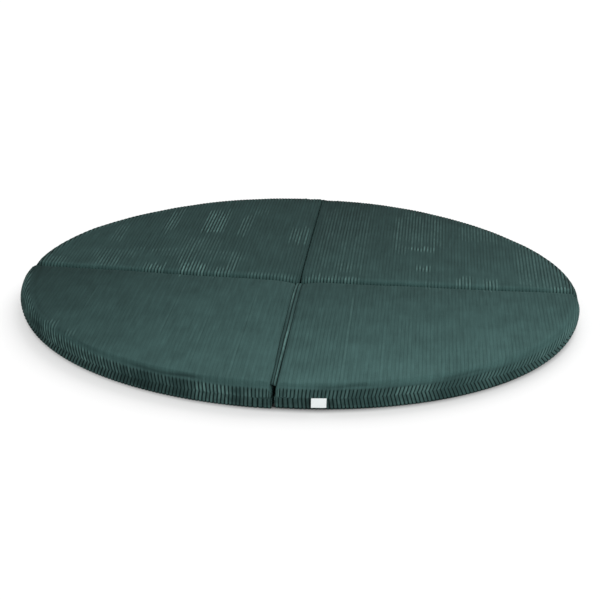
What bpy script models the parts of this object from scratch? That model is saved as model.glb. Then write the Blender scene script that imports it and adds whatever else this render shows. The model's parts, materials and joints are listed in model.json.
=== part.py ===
"""Round folding floor mat: four quarter cushions covered in wide-wale corduroy.

Metres, +Z up. The mat lies open on the floor, centred on the origin, with its front towards -Y.
Each quarter is one filled cushion: a top and a bottom panel meet in a seam halfway up its sides,
the wales run from front to back and go down over the rim. A hinge strip lies along the front
fold, the back fold is open, and a blank label hangs from the front seam.
"""
import math

import bmesh
import bpy
import numpy as np
from mathutils import Matrix, Vector

# The whole mat
MAT_RADIUS = 0.700
TOP_HEIGHT = 0.062
HALF_FILL = TOP_HEIGHT / 2.0
CROWN = 0.004
CROWN_RUN = 0.120
CLEARANCE = 0.0003

# The filled edges: how far in the shoulder reaches, and how square it is (2 is an ellipse). The
# weight of the mat squares the lower edge along the front-to-back fold, which reaches in less.
RIM_WIDTH = 0.0215
RIM_FULLNESS = 1.85
SIDE_FOLD_WIDTH = 0.018
SIDE_FOLD_FULLNESS = 2.2
FRONT_FOLD_WIDTH = 0.026
FRONT_FOLD_FULLNESS = 2.0
BACK_FOLD_WIDTH = 0.008
BACK_FOLD_FULLNESS = 2.3
LOWER_FOLD_SHARE = 0.25
LOWER_RIM_TUCK = 0.005
LINE_GAP_AT_CENTRE = 0.0022
CENTRE_DRAW_IN = 0.003
SIDE_CORNER_DRAW_IN = 0.003
CORNER_RUN = 0.024

# The filling sinks at the crossing of the folds, which lies off the middle of the rim's circle
CENTRE_SINK = 0.5
CENTRE_SINK_RUN = 0.055
CROSSING_X = -0.003
CROSSING_Y = -0.016

# The corduroy: three wales to the inch
WALE_PITCH = 0.0254 / 3.0
WALE_DEPTH = 0.0018
WALE_DEPTH_AT_SEAM = 0.35
SEAM_RUN = 0.018

# Rows of points up each column of cloth, as shares of the shoulder's cloth, and on the flat top,
# of which the short columns at the mat's sides keep at least a little
SIDE_FOLD_ROWS = (0.0, 0.45, 1.0)
RIM_ROWS = (1.0, 0.62, 0.3, 0.0)
TOP_ROWS = 2
LEAST_TOP = 0.004
ROWS_ONLY_ON_TOP = (1, 6)
PROFILE_POINTS = 200
COLUMN_END_PASSES = 8

# Points closer than this are one point
TOUCH = 1e-6

# One row for each quarter: which side of the two folds it lies on, how far its rim strays from the
# circle at the side fold, halfway round and at the front-to-back fold, its seam's height, the gap
# between it and its neighbour at the rim, and how far its corner is drawn in there
QUARTERS = (
    {"name": "quarter_front_left", "x": -1, "y": -1, "side": 0.003, "halfway": 0.0045,
     "line": 0.000, "seam": 0.032, "gap": 0.0046, "corner": 0.003},
    {"name": "quarter_front_right", "x": 1, "y": -1, "side": 0.000, "halfway": 0.001,
     "line": -0.0055, "seam": 0.034, "gap": 0.0046, "corner": 0.003},
    {"name": "quarter_back_left", "x": -1, "y": 1, "side": -0.0035, "halfway": -0.0045,
     "line": 0.020, "seam": 0.0305, "gap": 0.0010, "corner": 0.001},
    {"name": "quarter_back_right", "x": 1, "y": 1, "side": 0.0005, "halfway": -0.0045,
     "line": 0.0155, "seam": 0.0325, "gap": 0.0010, "corner": 0.001},
)

# The hinge strip of two wales, sewn over the front fold
STRIP_WALES = 2
STRIP_THICKNESS = 0.0016
STRIP_START = 0.012
STRIP_END_INSET = 0.018
STRIP_DRIFT = 0.003
STRIP_ROWS = 14

# The blank label in the front seam
LABEL_WIDTH = 0.033
LABEL_HEIGHT = 0.0215
LABEL_THICKNESS = 0.001
LABEL_ANGLE = math.radians(-81.9)

COVER_COLOUR = (0.035, 0.085, 0.075, 1.0)
LABEL_COLOUR = (0.88, 0.88, 0.86, 1.0)


def clear_scene():
    for scene_object in list(bpy.data.objects):
        bpy.data.objects.remove(scene_object, do_unlink=True)


def new_material(name, colour, roughness):
    material = bpy.data.materials.new(name)
    material.use_nodes = True
    shader = material.node_tree.nodes["Principled BSDF"]
    shader.inputs["Base Color"].default_value = colour
    shader.inputs["Roughness"].default_value = roughness
    shader.inputs["Metallic"].default_value = 0.0
    return material


def add_object(name, bm, collection, material):
    mesh = bpy.data.meshes.new(name)
    bm.to_mesh(mesh)
    bm.free()
    mesh.materials.append(material)
    part = bpy.data.objects.new(name, mesh)
    collection.objects.link(part)
    return part


def edge_profile(width, fullness):
    """Cloth length from the seam, inset and rise (0 at the seam, 1 on top) round a filled edge."""
    turn = np.linspace(0.0, math.pi / 2.0, PROFILE_POINTS)
    inset = width * (1.0 - np.cos(turn) ** (2.0 / fullness))
    rise = np.sin(turn) ** (2.0 / fullness)
    steps = np.hypot(np.diff(inset), np.diff(rise) * HALF_FILL)
    length = np.concatenate([[0.0], np.cumsum(steps)])
    return {"length": length, "inset": inset, "rise": rise, "cloth": length[-1], "width": width}


RIM = edge_profile(RIM_WIDTH, RIM_FULLNESS)
SIDE_FOLD = edge_profile(SIDE_FOLD_WIDTH, SIDE_FOLD_FULLNESS)
FRONT_FOLD = edge_profile(FRONT_FOLD_WIDTH, FRONT_FOLD_FULLNESS)
BACK_FOLD = edge_profile(BACK_FOLD_WIDTH, BACK_FOLD_FULLNESS)


def inset_at(edge, cloth):
    """How far in from the seam a point lies, for its length of cloth from the seam."""
    return float(np.interp(cloth, edge["length"], edge["inset"])) + max(cloth - edge["cloth"], 0.0)


def cloth_for(edge, inset):
    """The length of cloth from the seam, for how far in a point lies."""
    return float(np.interp(inset, edge["inset"], edge["length"])) + max(inset - edge["width"], 0.0)


def rise_at(edge, cloth):
    return float(np.interp(cloth, edge["length"], edge["rise"]))


def line_fold(quarter):
    """The filled edge along the front-to-back fold, wider in front, where the hinge strip lies."""
    return FRONT_FOLD if quarter["y"] < 0 else BACK_FOLD


def rim_radius(quarter, x, y):
    """The rim's radius in the direction of a point, with the quarter's own unevenness."""
    turn = math.atan2(y, x)
    share = math.sin(turn) ** 2
    ends = quarter["side"] * (1.0 - share) + quarter["line"] * share
    swell = quarter["halfway"] - (quarter["side"] + quarter["line"]) / 2.0
    return MAT_RADIUS + ends + swell * math.sin(2.0 * turn) ** 2


def fill_height(quarter, line_cloth, side_cloth, rim_cloth):
    """Height of the top panel over the seam, for the cloth lengths from the three edges."""
    rise = rise_at(line_fold(quarter), line_cloth)
    rise *= rise_at(SIDE_FOLD, side_cloth) * rise_at(RIM, rim_cloth)
    rise *= 1.0 - CENTRE_SINK * math.exp(-(line_cloth ** 2 + side_cloth ** 2) / CENTRE_SINK_RUN ** 2)
    crown = 1.0
    for cloth in (line_cloth, side_cloth, rim_cloth):
        crown *= 1.0 - math.exp(-max(cloth, 0.0) / CROWN_RUN)
    return HALF_FILL * rise + CROWN * crown


def column_end(quarter, x, rim_cloth):
    """Where a column of cloth at x meets the line that lies rim_cloth in from the rim seam."""
    overhang = RIM["cloth"] - RIM["width"]
    y = MAT_RADIUS
    for _ in range(COLUMN_END_PASSES):
        reach = rim_radius(quarter, x, y) + overhang - rim_cloth
        y = math.sqrt(max(reach * reach - x * x, (CLEARANCE / 2.0) ** 2))
    return cloth_for(SIDE_FOLD, y - CLEARANCE / 2.0)


def column_rows(quarter, x):
    """Cloth lengths from the side fold's seam to the rim's seam, for one column of cloth."""
    full = column_end(quarter, x, 0.0)
    rim_part = [full - column_end(quarter, x, share * RIM["cloth"]) for share in RIM_ROWS]
    side_part = [share * SIDE_FOLD["cloth"] for share in SIDE_FOLD_ROWS]
    squeeze = min(1.0, full / (side_part[-1] + rim_part[0] + LEAST_TOP))
    start = side_part[-1] * squeeze
    end = full - rim_part[0] * squeeze
    rows = [value * squeeze for value in side_part]
    rows += [start + (end - start) * step / TOP_ROWS for step in range(1, TOP_ROWS)]
    rows += [full - value * squeeze for value in rim_part]
    return rows


def draw_in_corners(quarter, x, y):
    """Pulls a point in where two seams meet."""
    corners = (
        (0.0, 0.0, 1.0, 1.0, CENTRE_DRAW_IN),
        (0.0, rim_radius(quarter, 0.0, 1.0), 1.0, -1.0, quarter["corner"]),
        (rim_radius(quarter, 1.0, 0.0), 0.0, -1.0, 1.0, SIDE_CORNER_DRAW_IN),
    )
    for corner_x, corner_y, inward_x, inward_y, draw_in in corners:
        distance = math.hypot(x - corner_x, y - corner_y)
        pull = draw_in * math.exp(-((distance / CORNER_RUN) ** 2)) / math.sqrt(2.0)
        x += inward_x * pull
        y += inward_y * pull
    return x, y


def place_on_fill(quarter, line_cloth, side_cloth):
    """A point of the flat panel wrapped over the filling, with its cloth length from the rim."""
    half_gap = LINE_GAP_AT_CENTRE / 2.0
    x = half_gap + inset_at(line_fold(quarter), line_cloth)
    y = CLEARANCE / 2.0 + inset_at(SIDE_FOLD, side_cloth)
    reach = math.hypot(x, y)
    radius = rim_radius(quarter, x, y)
    rim_cloth = max(radius + RIM["cloth"] - RIM["width"] - reach, 0.0)
    shrink = (radius - inset_at(RIM, rim_cloth)) / reach
    height = fill_height(quarter, line_cloth, side_cloth, rim_cloth)
    x, y = draw_in_corners(quarter, x * shrink, y * shrink)
    x += (quarter["gap"] / 2.0 - half_gap) * y / MAT_RADIUS * (1.0 - x / MAT_RADIUS)
    return Vector((x, y, height)), rim_cloth


def height_over_floor(quarter, height):
    """Height over the floor of a point, from its height over the quarter's seam in an even filling."""
    if height > 0.0:
        return quarter["seam"] + height * (TOP_HEIGHT - quarter["seam"]) / HALF_FILL
    return max(quarter["seam"] + height * quarter["seam"] / HALF_FILL, 0.0)


def shift_middle(x, y):
    """Moves a place on the mat with the crossing of the folds, less the nearer the rim it is."""
    share = 1.0 - (x * x + y * y) / (MAT_RADIUS * MAT_RADIUS)
    return x + CROSSING_X * share, y + CROSSING_Y * share


def tuck_lower_rim(vert):
    """Moves a point of the lower panel inwards near the rim, the more the lower it is."""
    reach = math.hypot(vert.co.x, vert.co.y)
    depth = min(-vert.co.z / HALF_FILL, 1.0)
    shrink = 1.0 - LOWER_RIM_TUCK * depth ** 2 * (reach / MAT_RADIUS) ** 4 / MAT_RADIUS
    vert.co.x *= shrink
    vert.co.y *= shrink


def square_lower_fold(quarter, vert):
    """Moves a point of the lower panel out towards the front-to-back fold, over its rolled edge."""
    width = line_fold(quarter)["width"]
    reach_in = min(max(vert.co.x - LINE_GAP_AT_CENTRE / 2.0, 0.0), width)
    fade = min(max(2.0 - vert.co.x / (2.0 * width), 0.0), 1.0)
    vert.co.x -= (1.0 - LOWER_FOLD_SHARE) * reach_in * fade


def press_wales(bm, columns, seam_cloth):
    """Sinks every second column of points along its normal, so that wales stand between them."""
    bm.normal_update()
    for vert in bm.verts:
        if columns[vert.index] % 2 == 0:
            continue
        cloth = seam_cloth[vert.index]
        depth = WALE_DEPTH * min(1.0, WALE_DEPTH_AT_SEAM + cloth / SEAM_RUN)
        inward = -vert.normal
        if cloth < TOUCH:
            inward.z = 0.0
            inward.normalize()
        vert.co += inward * depth


def lies_in_spare_row(edge, row_mark):
    """Whether an edge of the lower panel runs along a row that only the top panel needs."""
    first, second = edge.verts
    below = min(first.co.z, second.co.z) < -TOUCH
    return below and first[row_mark] == second[row_mark] and first[row_mark] in ROWS_ONLY_ON_TOP


def make_quarter(quarter, collection, material):
    """One cushion: a panel wrapped over the filling, mirrored at the seam, flat on the floor."""
    pattern_radius = MAT_RADIUS + quarter["side"] + RIM["cloth"] - RIM["width"]
    widest = cloth_for(line_fold(quarter), pattern_radius - LINE_GAP_AT_CENTRE / 2.0)
    wales = round(widest / WALE_PITCH)
    column_count = 2 * wales
    row_count = len(SIDE_FOLD_ROWS) + TOP_ROWS + len(RIM_ROWS) - 2

    bm = bmesh.new()
    bmesh.ops.create_grid(bm, x_segments=column_count, y_segments=row_count, size=0.5)
    bm.verts.index_update()
    rows_of_column = []
    for column in range(column_count + 1):
        line_inset = inset_at(line_fold(quarter), widest * column / column_count)
        x = LINE_GAP_AT_CENTRE / 2.0 + line_inset
        rows_of_column.append(column_rows(quarter, x))
    row_mark = bm.verts.layers.int.new("row")
    columns = {}
    seam_cloth = {}
    for vert in bm.verts:
        column = round((vert.co.x + 0.5) * column_count)
        row = round((vert.co.y + 0.5) * row_count)
        vert[row_mark] = row
        line_cloth = widest * column / column_count
        side_cloth = rows_of_column[column][row]
        vert.co, rim_cloth = place_on_fill(quarter, line_cloth, side_cloth)
        columns[vert.index] = column
        seam_cloth[vert.index] = min(side_cloth, rim_cloth)
    press_wales(bm, columns, seam_cloth)

    bmesh.ops.remove_doubles(bm, verts=bm.verts, dist=TOUCH)
    whole = bm.verts[:] + bm.edges[:] + bm.faces[:]
    bmesh.ops.mirror(bm, geom=whole, axis="Z", merge_dist=TOUCH)
    spare = [edge for edge in bm.edges if lies_in_spare_row(edge, row_mark)]
    bmesh.ops.dissolve_edges(bm, edges=spare, use_verts=True)
    for vert in bm.verts:
        if vert.co.z < -TOUCH:
            square_lower_fold(quarter, vert)
            tuck_lower_rim(vert)
        x, y = shift_middle(vert.co.x * quarter["x"], vert.co.y * quarter["y"])
        vert.co.x = x
        vert.co.y = y
        vert.co.z = height_over_floor(quarter, vert.co.z)
    flat = [face for face in bm.faces if max(vert.co.z for vert in face.verts) < TOUCH]
    bmesh.ops.dissolve_faces(bm, faces=flat, use_verts=True)
    bmesh.ops.recalc_face_normals(bm, faces=bm.faces)
    return add_object(quarter["name"], bm, collection, material)


def surface_height(quarter, x, y):
    """Height over the floor of a quarter's top at a place on the mat."""
    line_cloth = cloth_for(line_fold(quarter), abs(x) - LINE_GAP_AT_CENTRE / 2.0)
    side_cloth = cloth_for(SIDE_FOLD, abs(y))
    rim_cloth = cloth_for(RIM, rim_radius(quarter, abs(x), abs(y)) - math.hypot(x, y))
    return height_over_floor(quarter, fill_height(quarter, line_cloth, side_cloth, rim_cloth))


def make_hinge_strip(collection, material):
    """The strip of two wales that joins the front quarters, its edges resting on their shoulders."""
    left, right = QUARTERS[0], QUARTERS[1]
    half_width = STRIP_WALES * WALE_PITCH / 2.0
    length = MAT_RADIUS + left["line"] - STRIP_END_INSET - STRIP_START
    column_count = 2 * STRIP_WALES

    bm = bmesh.new()
    bmesh.ops.create_grid(bm, x_segments=column_count, y_segments=STRIP_ROWS, size=0.5)
    bare = bm.verts.layers.float.new("height_of_underside")
    for vert in bm.verts:
        column = round((vert.co.x + 0.5) * column_count)
        share = 0.5 - vert.co.y
        y = -(STRIP_START + length * share)
        middle = STRIP_DRIFT * (2.0 * share - 1.0)
        left_height = surface_height(left, middle - half_width, y)
        right_height = surface_height(right, middle + half_width, y)
        across = column / column_count
        base = left_height + (right_height - left_height) * across + CLEARANCE
        wale = WALE_DEPTH if column % 2 else 0.0
        x, y = shift_middle(middle + half_width * (2.0 * across - 1.0), y)
        vert.co = Vector((x, y, base + STRIP_THICKNESS + wale))
        vert[bare] = base
    lowered = bmesh.ops.extrude_face_region(bm, geom=bm.faces[:])
    under_verts = [item for item in lowered["geom"] if isinstance(item, bmesh.types.BMVert)]
    for vert in under_verts:
        vert.co.z = vert[bare]
    bmesh.ops.recalc_face_normals(bm, faces=bm.faces)
    return add_object("hinge_strip", bm, collection, material)


def make_label(collection, material):
    """The blank label, sewn in the front seam and hanging over the lower panel."""
    front_right = QUARTERS[1]
    ray_x, ray_y = math.cos(LABEL_ANGLE), math.sin(LABEL_ANGLE)
    radius = rim_radius(front_right, ray_x, abs(ray_y)) + CLEARANCE + LABEL_THICKNESS / 2.0
    bm = bmesh.new()
    bmesh.ops.create_cube(bm, size=1.0)
    bmesh.ops.scale(bm, vec=(LABEL_THICKNESS, LABEL_WIDTH, LABEL_HEIGHT), verts=bm.verts)
    bmesh.ops.translate(bm, vec=(radius, 0.0, front_right["seam"] - LABEL_HEIGHT / 2.0), verts=bm.verts)
    bmesh.ops.rotate(bm, cent=(0.0, 0.0, 0.0), matrix=Matrix.Rotation(LABEL_ANGLE, 3, "Z"), verts=bm.verts)
    return add_object("label_blank", bm, collection, material)


def centre_on_origin(parts):
    """Moves the mat so that the middle of its box stands on the origin."""
    points = np.array([vert.co[:] for part in parts for vert in part.data.vertices])
    middle = (points.min(axis=0) + points.max(axis=0)) / 2.0
    for part in parts:
        part.location = (-middle[0], -middle[1], 0.0)


def main():
    clear_scene()
    collection = bpy.data.collections.new("round_folding_mat")
    bpy.context.scene.collection.children.link(collection)
    cover = new_material("corduroy_cover", COVER_COLOUR, 0.9)
    label = new_material("label_cloth", LABEL_COLOUR, 0.7)
    parts = [make_quarter(quarter, collection, cover) for quarter in QUARTERS]
    parts.append(make_hinge_strip(collection, cover))
    parts.append(make_label(collection, label))
    centre_on_origin(parts)


main()
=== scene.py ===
"""Round folding floor mat in wide-wale corduroy: its looks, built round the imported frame.

The mat is sewn from four quarter cushions. Each cushion is a flat pattern of corduroy wrapped over
its filling: the wales run from front to back and go down over the rim, where the top and bottom
panels meet in a seam. Metres, +Z up, front towards -Y.
"""
import json
import math

import bmesh
import bpy
import numpy as np
from bpy.props import FloatProperty, FloatVectorProperty, IntProperty, PointerProperty
from mathutils import Matrix, Vector

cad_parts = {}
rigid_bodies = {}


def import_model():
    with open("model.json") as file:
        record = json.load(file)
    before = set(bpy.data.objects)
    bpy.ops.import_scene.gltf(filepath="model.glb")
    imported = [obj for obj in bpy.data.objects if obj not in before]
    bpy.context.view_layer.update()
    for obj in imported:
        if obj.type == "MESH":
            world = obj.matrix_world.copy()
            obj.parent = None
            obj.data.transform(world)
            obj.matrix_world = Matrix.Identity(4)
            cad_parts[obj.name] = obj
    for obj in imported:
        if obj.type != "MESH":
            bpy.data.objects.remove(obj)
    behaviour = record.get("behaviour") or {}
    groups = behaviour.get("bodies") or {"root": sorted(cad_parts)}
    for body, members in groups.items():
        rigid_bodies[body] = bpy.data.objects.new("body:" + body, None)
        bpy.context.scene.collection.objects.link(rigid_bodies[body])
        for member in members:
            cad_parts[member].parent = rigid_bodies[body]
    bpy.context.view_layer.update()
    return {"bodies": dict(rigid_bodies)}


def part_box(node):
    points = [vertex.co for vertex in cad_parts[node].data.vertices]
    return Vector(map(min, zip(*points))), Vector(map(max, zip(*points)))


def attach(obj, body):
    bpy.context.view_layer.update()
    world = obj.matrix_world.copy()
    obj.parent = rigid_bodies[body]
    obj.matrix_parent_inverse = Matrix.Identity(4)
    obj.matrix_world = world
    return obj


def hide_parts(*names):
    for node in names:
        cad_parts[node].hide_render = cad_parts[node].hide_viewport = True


bl_info = {
    "name": "Round folding mat",
    "version": (1, 0, 0),
    "blender": (4, 5, 0),
    "location": "3D View > Sidebar > Folding mat",
    "description": "Sews a round folding mat of four corduroy quarter cushions",
    "category": "Add Mesh",
}

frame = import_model()

# The four quarters: their side of the two folds, how far the rim strays from the circle at the side
# fold, halfway round and at the front-to-back fold, the gap to the neighbour at the rim, how far the
# corner is drawn in there, and the seam's height
QUARTERS = (
    {"name": "quarter_front_left", "x": -1, "y": -1, "side": 0.003, "halfway": 0.0045, "line": 0.000,
     "gap": 0.0046, "corner": 0.003, "seam": 0.032},
    {"name": "quarter_front_right", "x": 1, "y": -1, "side": 0.000, "halfway": 0.001, "line": -0.0055,
     "gap": 0.0046, "corner": 0.003, "seam": 0.034},
    {"name": "quarter_back_left", "x": -1, "y": 1, "side": -0.0035, "halfway": -0.0045, "line": 0.020,
     "gap": 0.0010, "corner": 0.001, "seam": 0.0305},
    {"name": "quarter_back_right", "x": 1, "y": 1, "side": 0.0005, "halfway": -0.0045, "line": 0.0155,
     "gap": 0.0010, "corner": 0.001, "seam": 0.0325},
)

# How the pile of each quarter lies, and the light and shade painted on it. In order: how much the
# wales stand up on top; how far up the shoulder they stay open at the side fold, halfway round and at
# the front-to-back fold, in lengths of the rim's cloth; the painted shade of the top at the crossing
# of the folds, with its change towards the rim along and across the wales; the painted light on the
# sides at the same three places; how much painted light or shade lies over the rim's shoulder, and
# between which shares of the rim's cloth that fades; how much painted light lies over the shoulders
# at the folds; and the crease under the top's edge, dented and darkened with painted shade. Then
# stretches round the rim where the pile is brushed up or flat and its crests carry more or less
# painted highlight, and others where the crease is deeper and its painted shade darker, each given
# as the angle from the side fold and half width in degrees and the strength; and the seed of the
# unevenness.
PILE_AND_PAINTED_LIGHT = {
    "quarter_front_left": {"wales": 0.15, "open": (1.7, 1.05, 0.80), "shade": (0.72, 0.34, -0.40),
                           "side_light": (1.05, 0.95, 0.88), "shoulder_light": (0.28, 0.60, 1.15),
                           "fold_light": 0.0, "trough": 0.25,
                           "stretches": ((79.0, 3.8, 0.50), (83.5, 1.3, -0.35), (69.0, 6.0, -0.25),
                                         (44.0, 9.0, 0.30)),
                           "creases": ((69.0, 8.0, 0.75),), "seed": 3},
    "quarter_front_right": {"wales": 0.20, "open": (0.9, 0.65, 0.80), "shade": (0.53, 0.60, 0.26),
                            "side_light": (1.80, 1.32, 0.92), "shoulder_light": (0.28, 0.60, 1.15),
                            "fold_light": 0.0, "trough": 0.25,
                            "stretches": ((65.0, 3.5, 0.50), (75.0, 4.0, -0.20), (57.0, 3.0, -0.25)),
                            "creases": ((54.0, 5.5, 0.50), (77.0, 5.0, 0.35)), "seed": 8},
    "quarter_back_left": {"wales": 0.30, "open": (1.95, 1.95, 1.95), "shade": (0.62, -0.16, -0.04),
                          "side_light": (1.0, 1.0, 1.0), "shoulder_light": (-0.50, 0.95, 1.30),
                          "fold_light": 0.85, "trough": 0.2, "stretches": (), "creases": (), "seed": 15},
    "quarter_back_right": {"wales": 0.29, "open": (1.95, 1.95, 1.95), "shade": (0.65, -0.30, 0.19),
                           "side_light": (1.0, 1.0, 1.0), "shoulder_light": (-0.50, 0.95, 1.30),
                           "fold_light": 0.85, "trough": 0.2, "stretches": (), "creases": (), "seed": 21},
}

# Painted shadow beside the label, on the lower panel, placed as the stretches are
SHADOW_BESIDE_LABEL = ((81.9, 3.2, 0.45),)

# Patches where the pile is brushed up and the wales' crests carry a painted highlight: x and y from
# the middle of the rim's circle, half width across the wales, half length along them, and strength
BRUSHED_HIGHLIGHTS = (
    (-0.276, 0.415, 0.031, 0.105, 0.90),
    (-0.395, 0.410, 0.018, 0.100, 0.45),
    (-0.190, 0.420, 0.016, 0.100, 0.35),
    (-0.520, 0.272, 0.016, 0.074, 0.32),
    (-0.291, 0.190, 0.055, 0.090, 0.22),
    (-0.282, 0.022, 0.036, 0.044, 0.95),
    (-0.235, 0.008, 0.013, 0.027, 0.40),
    (-0.204, 0.005, 0.018, 0.034, 0.95),
    (-0.184, 0.081, 0.014, 0.067, 0.45),
    (-0.307, 0.149, 0.025, 0.100, 0.40),
    (-0.380, 0.012, 0.028, 0.031, 0.80),
    (-0.509, 0.047, 0.033, 0.039, 0.40),
    (-0.648, 0.032, 0.033, 0.039, 0.28),
    (-0.501, 0.115, 0.055, 0.030, 0.20),
    (-0.035, 0.345, 0.026, 0.067, 0.50),
    (-0.165, 0.540, 0.028, 0.025, 0.20),
    (-0.076, 0.000, 0.064, 0.013, 0.45),
    (0.051, 0.004, 0.045, 0.018, 0.80),
    (0.123, 0.000, 0.025, 0.018, 1.00),
    (0.100, 0.098, 0.023, 0.040, 0.35),
    (0.241, 0.257, 0.018, 0.035, 0.39),
    (0.301, 0.272, 0.035, 0.017, 0.95),
    (0.290, 0.440, 0.069, 0.140, 0.30),
    (0.454, 0.427, 0.053, 0.069, 0.28),
    (0.306, 0.112, 0.021, 0.018, 0.85),
    (0.331, -0.012, 0.020, 0.023, 0.40),
    (0.413, 0.022, 0.022, 0.036, 0.75),
    (0.479, 0.016, 0.018, 0.040, 0.75),
    (0.658, 0.010, 0.032, 0.020, 1.00),
    (0.608, 0.182, 0.060, 0.150, 0.28),
    (-0.309, 0.155, 0.150, 0.007, 0.30),
    (-0.270, 0.115, 0.120, 0.006, 0.25),
    (0.090, 0.330, 0.070, 0.280, 0.16),
    (-0.553, -0.420, 0.022, 0.030, 0.45),
    (-0.491, -0.467, 0.014, 0.018, 0.29),
    (-0.200, -0.690, 0.050, 0.020, 0.33),
    (-0.494, -0.250, 0.004, 0.090, 0.12),
    (-0.284, -0.290, 0.004, 0.150, 0.16),
    (-0.192, -0.380, 0.004, 0.230, 0.12),
    (-0.099, -0.390, 0.004, 0.260, 0.16),
    (0.141, -0.360, 0.004, 0.280, 0.16),
    (0.222, -0.490, 0.004, 0.080, 0.12),
    (0.283, -0.270, 0.004, 0.060, 0.12),
    (0.399, -0.165, 0.004, 0.130, 0.12),
)

# The camera of the photograph: where it stands from the middle of the rim's circle, how it is held,
# and the pixel on which that middle lies
CAMERA_ELEVATION = math.radians(20.212)
CAMERA_AZIMUTH = math.radians(4.456)
CAMERA_ROLL = math.radians(1.584)
CAMERA_DISTANCE = 4.044
FOCAL_PIXELS = 1585.3
PICTURE_PIXELS = 600
MIDDLE_PIXEL = (300.81, 300.29)

# The middle of the rim's circle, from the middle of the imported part's box
CIRCLE_X = 0.00125
CIRCLE_Y = -0.01064
# The crossing of the folds, from the middle of the rim's circle
CROSSING_X = -0.003
CROSSING_Y = -0.016
# Pieces that lie against each other stay this far apart, and points this near are the same
CLEARANCE = 0.0003
TOUCH = 1e-6
# Wales are half ellipses in section, made a little fuller by this power
WALE_POWER = 0.8
# The open wales of the pile table reach this many times as far on the top panel, and on the bottom
# one, where they show right down to the floor
TOP_REACH = 1.0
BOTTOM_REACH = 2.0
# On the mat's sides, where the pile stands upright, painted shade darkens it. Close to the floor
# hardly any light reaches it, and more painted shade darkens it: the shade there, what the height
# adds to it, and the heights between which it does
SIDE_SHADE = 0.76
NEAR_FLOOR = {"shade": 0.30, "added": 0.50, "from": 0.001, "to": 0.016}
# On the bottom panel the brushed pile carries less painted highlight
BOTTOM_HIGHLIGHT = 0.65
# Points along the section of a cushion's edge
PROFILE_POINTS = 400
BODY = "root" if "root" in frame["bodies"] else next(iter(frame["bodies"]))


class MatSizes(bpy.types.PropertyGroup):
    """Sizes of the mat that a user would change."""

    radius: FloatProperty(name="Radius", description="Radius of the open mat at its side seam",
                          default=0.700, min=0.2, unit="LENGTH")
    top_height: FloatProperty(name="Top height", description="Height of the top inside the rim",
                              default=0.062, unit="LENGTH")
    crown: FloatProperty(name="Crown", description="How much higher the middle of a quarter is",
                         default=0.004, unit="LENGTH")
    crown_run: FloatProperty(name="Crown run", description="How far in the crown goes on rising",
                             default=0.120, unit="LENGTH")
    wale_pitch: FloatProperty(name="Wale pitch", description="From wale to wale: three to the inch",
                              default=0.0254 / 3.0, unit="LENGTH")
    wale_depth: FloatProperty(name="Wale depth", description="From a wale's crest to the groove",
                              default=0.0018, unit="LENGTH")
    fold_gap: FloatProperty(name="Gap at the middle", description="Gap between quarters at the crossing",
                            default=0.0022, unit="LENGTH")
    strip_thickness: FloatProperty(name="Strip thickness", description="Cloth of the hinge strip",
                                   default=0.0016, unit="LENGTH")
    wale_columns: IntProperty(name="Columns to a wale", description="Columns of faces over each wale",
                              default=8, min=4)


class MatColours(bpy.types.PropertyGroup):
    """Colours of the mat and its floor, as a user picks them."""

    pile: FloatVectorProperty(name="Pile", description="Crest of a wale", subtype="COLOR_GAMMA",
                              size=3, min=0.0, max=1.0, default=(0x38 / 255, 0x51 / 255, 0x4F / 255))
    # The groove colour is the woven ground with painted shade deep in the grooves
    groove: FloatVectorProperty(name="Groove", description="Ground cloth between wales",
                                subtype="COLOR_GAMMA", size=3, min=0.0, max=1.0,
                                default=(0x07 / 255, 0x0F / 255, 0x0D / 255))
    # Colour of the painted highlight on brushed pile
    brushed_highlight: FloatVectorProperty(name="Brushed pile", description="Pile that is brushed up",
                                 subtype="COLOR_GAMMA", size=3, min=0.0, max=1.0,
                                 default=(0x5E / 255, 0x7E / 255, 0x7A / 255))
    label: FloatVectorProperty(name="Label", description="Woven label", subtype="COLOR_GAMMA",
                               size=3, min=0.0, max=1.0, default=(0xF8 / 255, 0xFF / 255, 0xFF / 255))
    floor: FloatVectorProperty(name="Floor", description="Studio floor", subtype="COLOR_GAMMA",
                               size=3, min=0.0, max=1.0, default=(0xAC / 255, 0xAC / 255, 0xAC / 255))


def linear(colour):
    """sRGB values from 0 to 1 as linear ones, with alpha."""
    values = [c / 12.92 if c <= 0.04045 else ((c + 0.055) / 1.055) ** 2.4 for c in colour]
    return (*values, 1.0)


def soft_noise(x, y, size, seed):
    """Smooth noise from -1 to 1 over arrays of places, with features about size across."""
    lattice = np.random.RandomState(seed).uniform(-1.0, 1.0, (64, 64))
    u, v = np.asarray(x) / size, np.asarray(y) / size
    i, j = np.floor(u).astype(int), np.floor(v).astype(int)
    fu, fv = u - i, v - j
    fu, fv = fu * fu * (3.0 - 2.0 * fu), fv * fv * (3.0 - 2.0 * fv)
    low = lattice[i % 64, j % 64] * (1.0 - fu) + lattice[(i + 1) % 64, j % 64] * fu
    high = lattice[i % 64, (j + 1) % 64] * (1.0 - fu) + lattice[(i + 1) % 64, (j + 1) % 64] * fu
    return low * (1.0 - fv) + high * fv


def smooth_step(value, start, end):
    """From 0 at start to 1 at end, levelling off at both."""
    share = np.clip((value - start) / (end - start), 0.0, 1.0)
    return share * share * (3.0 - 2.0 * share)


def wale_share(place):
    """The share of a wale's full height at places across the cloth, counted in wales."""
    phase = np.mod(place, 1.0)
    return np.sqrt(np.maximum(1.0 - (2.0 * phase - 1.0) ** 2, 0.0))


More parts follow.
